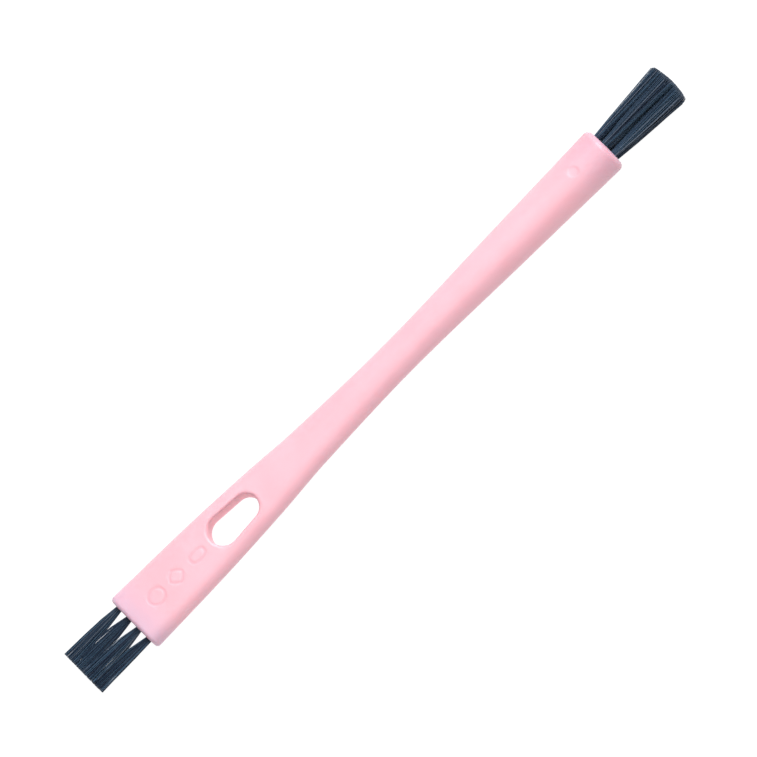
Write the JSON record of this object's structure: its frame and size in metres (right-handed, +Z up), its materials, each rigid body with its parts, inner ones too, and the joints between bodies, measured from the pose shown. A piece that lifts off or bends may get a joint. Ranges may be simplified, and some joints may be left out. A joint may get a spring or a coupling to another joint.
{
  "type": "club groove brush",
  "caption": "Slim moulded handle with a row of stiff bristle tufts in its flat paddle end, a round tufted brush in its barrel end and a tapered hang slot through the paddle.",
  "frame": {"origin": "on the surface that the brush lies on, under the middle of its overall length and width", "axes": "+X along the handle from the flat brush to the round brush, +Y across the paddle, +Z up, square to the paddle's faces"},
  "size_m": [0.1649, 0.0136, 0.0102],
  "materials": {
    "handle_plastic": "satin moulded",
    "bristle_nylon": "satin filament",
    "anchor_wire": "drawn"
  },
  "bodies": {
    "root": {"handle": "handle_plastic", "flat_tuft_1": "bristle_nylon", "flat_tuft_2": "bristle_nylon", "flat_tuft_3": "bristle_nylon", "flat_tuft_4": "bristle_nylon", "round_tuft_centre": "bristle_nylon", "round_tuft_1": "bristle_nylon", "round_tuft_2": "bristle_nylon", "round_tuft_3": "bristle_nylon", "round_tuft_4": "bristle_nylon", "round_tuft_5": "bristle_nylon", "round_tuft_6": "bristle_nylon", "flat_anchor_1": "anchor_wire", "flat_anchor_2": "anchor_wire", "flat_anchor_3": "anchor_wire", "flat_anchor_4": "anchor_wire", "round_anchor_centre": "anchor_wire", "round_anchor_1": "anchor_wire", "round_anchor_2": "anchor_wire", "round_anchor_3": "anchor_wire", "round_anchor_4": "anchor_wire", "round_anchor_5": "anchor_wire", "round_anchor_6": "anchor_wire"}
  },
  "joints": []
}
